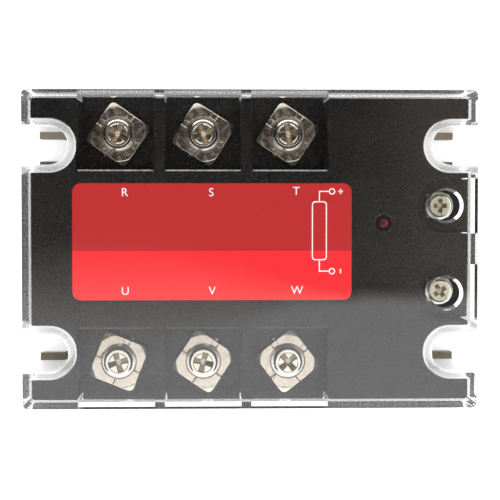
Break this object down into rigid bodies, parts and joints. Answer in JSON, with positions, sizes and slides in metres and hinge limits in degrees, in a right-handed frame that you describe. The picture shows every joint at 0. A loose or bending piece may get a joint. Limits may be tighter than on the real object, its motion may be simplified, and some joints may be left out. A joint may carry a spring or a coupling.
{
  "type": "solid state relay",
  "caption": "Flat module relay on a metal base plate, with screw terminals in bays along both sides, control screws at one end and a clear lift-off cover.",
  "frame": {"origin": "centre of the mounting face, under the middle of the module", "axes": "+Z out of the top, +X along the module towards the control terminals, +Y towards the line terminals"},
  "size_m": [0.105, 0.0734, 0.033],
  "materials": {
    "base_metal": "cast and sawn, satin",
    "housing_plastic": "fine moulded texture",
    "clear_cover": "clear, polished mould",
    "label_print": "printed film, satin laminate",
    "led_plastic": "tinted epoxy",
    "tinned_wire": "tinned",
    "screw_nickel": "nickel plated, bright",
    "washer_nickel": "nickel plated, bright",
    "clamp_nickel": "nickel plated, bright",
    "terminal_copper": "tin-plated copper",
    "nut_steel": "zinc plated",
    "board_laminate": "solder mask",
    "opto_body": "moulded epoxy",
    "resistor_body": "coated",
    "capacitor_body": "moulded box",
    "smd_body": "coated",
    "transistor_body": "moulded epoxy",
    "diode_body": "moulded epoxy",
    "film_resistor_body": "coated",
    "substrate_ceramic": "fired",
    "pad_copper": "bright",
    "chip_silicon": "lapped",
    "potting_silicone": "soft gel"
  },
  "bodies": {
    "root": {"base_plate": "base_metal", "housing": "housing_plastic", "front_label": "label_print", "indicator_led": "led_plastic", "led_leads": "tinned_wire", "power_terminal_r": "terminal_copper", "power_terminal_s": "terminal_copper", "power_terminal_t": "terminal_copper", "power_terminal_u": "terminal_copper", "power_terminal_v": "terminal_copper", "power_terminal_w": "terminal_copper", "control_terminal_plus": "terminal_copper", "control_terminal_minus": "terminal_copper", "power_nuts": "nut_steel", "control_nuts": "nut_steel", "circuit_board": "board_laminate", "optocouplers": "opto_body", "snubber_resistors": "resistor_body", "snubber_capacitors": "capacitor_body", "gate_resistors": "smd_body", "input_transistor": "transistor_body", "input_diode": "diode_body", "input_resistors": "film_resistor_body", "gate_pins": "tinned_wire", "ceramic_substrates": "substrate_ceramic", "copper_pads": "pad_copper", "thyristor_chips": "chip_silicon", "chip_clips": "pad_copper", "potting_gel": "potting_silicone"},
    "cover": {"cover": "clear_cover"},
    "clamp_r": {"power_clamp_r": "clamp_nickel", "power_spring_washer_r": "washer_nickel"},
    "screw_r": {"power_screw_r": "screw_nickel"},
    "clamp_s": {"power_clamp_s": "clamp_nickel", "power_spring_washer_s": "washer_nickel"},
    "screw_s": {"power_screw_s": "screw_nickel"},
    "clamp_t": {"power_clamp_t": "clamp_nickel", "power_spring_washer_t": "washer_nickel"},
    "screw_t": {"power_screw_t": "screw_nickel"},
    "clamp_u": {"power_clamp_u": "clamp_nickel", "power_spring_washer_u": "washer_nickel"},
    "screw_u": {"power_screw_u": "screw_nickel"},
    "clamp_v": {"power_clamp_v": "clamp_nickel", "power_spring_washer_v": "washer_nickel"},
    "screw_v": {"power_screw_v": "screw_nickel"},
    "clamp_w": {"power_clamp_w": "clamp_nickel", "power_spring_washer_w": "washer_nickel"},
    "screw_w": {"power_screw_w": "screw_nickel"},
    "control_washer_plus": {"control_washer_plus": "washer_nickel"},
    "control_screw_plus": {"control_screw_plus": "screw_nickel"},
    "control_washer_minus": {"control_washer_minus": "washer_nickel"},
    "control_screw_minus": {"control_screw_minus": "screw_nickel"}
  },
  "joints": [
    {"name": "cover_lift", "type": "slide", "parent": "root", "child": "cover", "axis": [0, 0, 1], "range_m": [0, 0.035]},
    {"name": "screw_r_turn", "type": "hinge", "parent": "clamp_r", "child": "screw_r", "pos_m": [-0.0312, 0.0271, 0.0201], "axis": [0, 0, 1], "range_deg": [0, 1800]},
    {"name": "clamp_r_lift", "type": "slide", "parent": "root", "child": "clamp_r", "axis": [0, 0, 1], "range_m": [0, 0.0035]},
    {"name": "screw_s_turn", "type": "hinge", "parent": "clamp_s", "child": "screw_s", "pos_m": [-0.011, 0.0271, 0.0201], "axis": [0, 0, 1], "range_deg": [0, 1800]},
    {"name": "clamp_s_lift", "type": "slide", "parent": "root", "child": "clamp_s", "axis": [0, 0, 1], "range_m": [0, 0.0035]},
    {"name": "screw_t_turn", "type": "hinge", "parent": "clamp_t", "child": "screw_t", "pos_m": [0.0092, 0.0271, 0.0201], "axis": [0, 0, 1], "range_deg": [0, 1800]},
    {"name": "clamp_t_lift", "type": "slide", "parent": "root", "child": "clamp_t", "axis": [0, 0, 1], "range_m": [0, 0.0035]},
    {"name": "screw_u_turn", "type": "hinge", "parent": "clamp_u", "child": "screw_u", "pos_m": [-0.0312, -0.0271, 0.0201], "axis": [0, 0, 1], "range_deg": [0, 1800]},
    {"name": "clamp_u_lift", "type": "slide", "parent": "root", "child": "clamp_u", "axis": [0, 0, 1], "range_m": [0, 0.0035]},
    {"name": "screw_v_turn", "type": "hinge", "parent": "clamp_v", "child": "screw_v", "pos_m": [-0.011, -0.0271, 0.0201], "axis": [0, 0, 1], "range_deg": [0, 1800]},
    {"name": "clamp_v_lift", "type": "slide", "parent": "root", "child": "clamp_v", "axis": [0, 0, 1], "range_m": [0, 0.0035]},
    {"name": "screw_w_turn", "type": "hinge", "parent": "clamp_w", "child": "screw_w", "pos_m": [0.0092, -0.0271, 0.0201], "axis": [0, 0, 1], "range_deg": [0, 1800]},
    {"name": "clamp_w_lift", "type": "slide", "parent": "root", "child": "clamp_w", "axis": [0, 0, 1], "range_m": [0, 0.0035]},
    {"name": "control_screw_plus_turn", "type": "hinge", "parent": "control_washer_plus", "child": "control_screw_plus", "pos_m": [0.0451, 0.0101, 0.023], "axis": [0, 0, 1], "range_deg": [0, 1800]},
    {"name": "control_washer_plus_lift", "type": "slide", "parent": "root", "child": "control_washer_plus", "axis": [0, 0, 1], "range_m": [0, 0.0025]},
    {"name": "control_screw_minus_turn", "type": "hinge", "parent": "control_washer_minus", "child": "control_screw_minus", "pos_m": [0.0451, -0.0101, 0.023], "axis": [0, 0, 1], "range_deg": [0, 1800]},
    {"name": "control_washer_minus_lift", "type": "slide", "parent": "root", "child": "control_washer_minus", "axis": [0, 0, 1], "range_m": [0, 0.0025]}
  ],
  "couplings": [
    {"joint": "screw_r_turn", "follows": "clamp_r_lift", "rad_per_m": 8975.9},
    {"joint": "screw_s_turn", "follows": "clamp_s_lift", "rad_per_m": 8975.9},
    {"joint": "screw_t_turn", "follows": "clamp_t_lift", "rad_per_m": 8975.9},
    {"joint": "screw_u_turn", "follows": "clamp_u_lift", "rad_per_m": 8975.9},
    {"joint": "screw_v_turn", "follows": "clamp_v_lift", "rad_per_m": 8975.9},
    {"joint": "screw_w_turn", "follows": "clamp_w_lift", "rad_per_m": 8975.9},
    {"joint": "control_screw_plus_turn", "follows": "control_washer_plus_lift", "rad_per_m": 12566},
    {"joint": "control_screw_minus_turn", "follows": "control_washer_minus_lift", "rad_per_m": 12566}
  ]
}
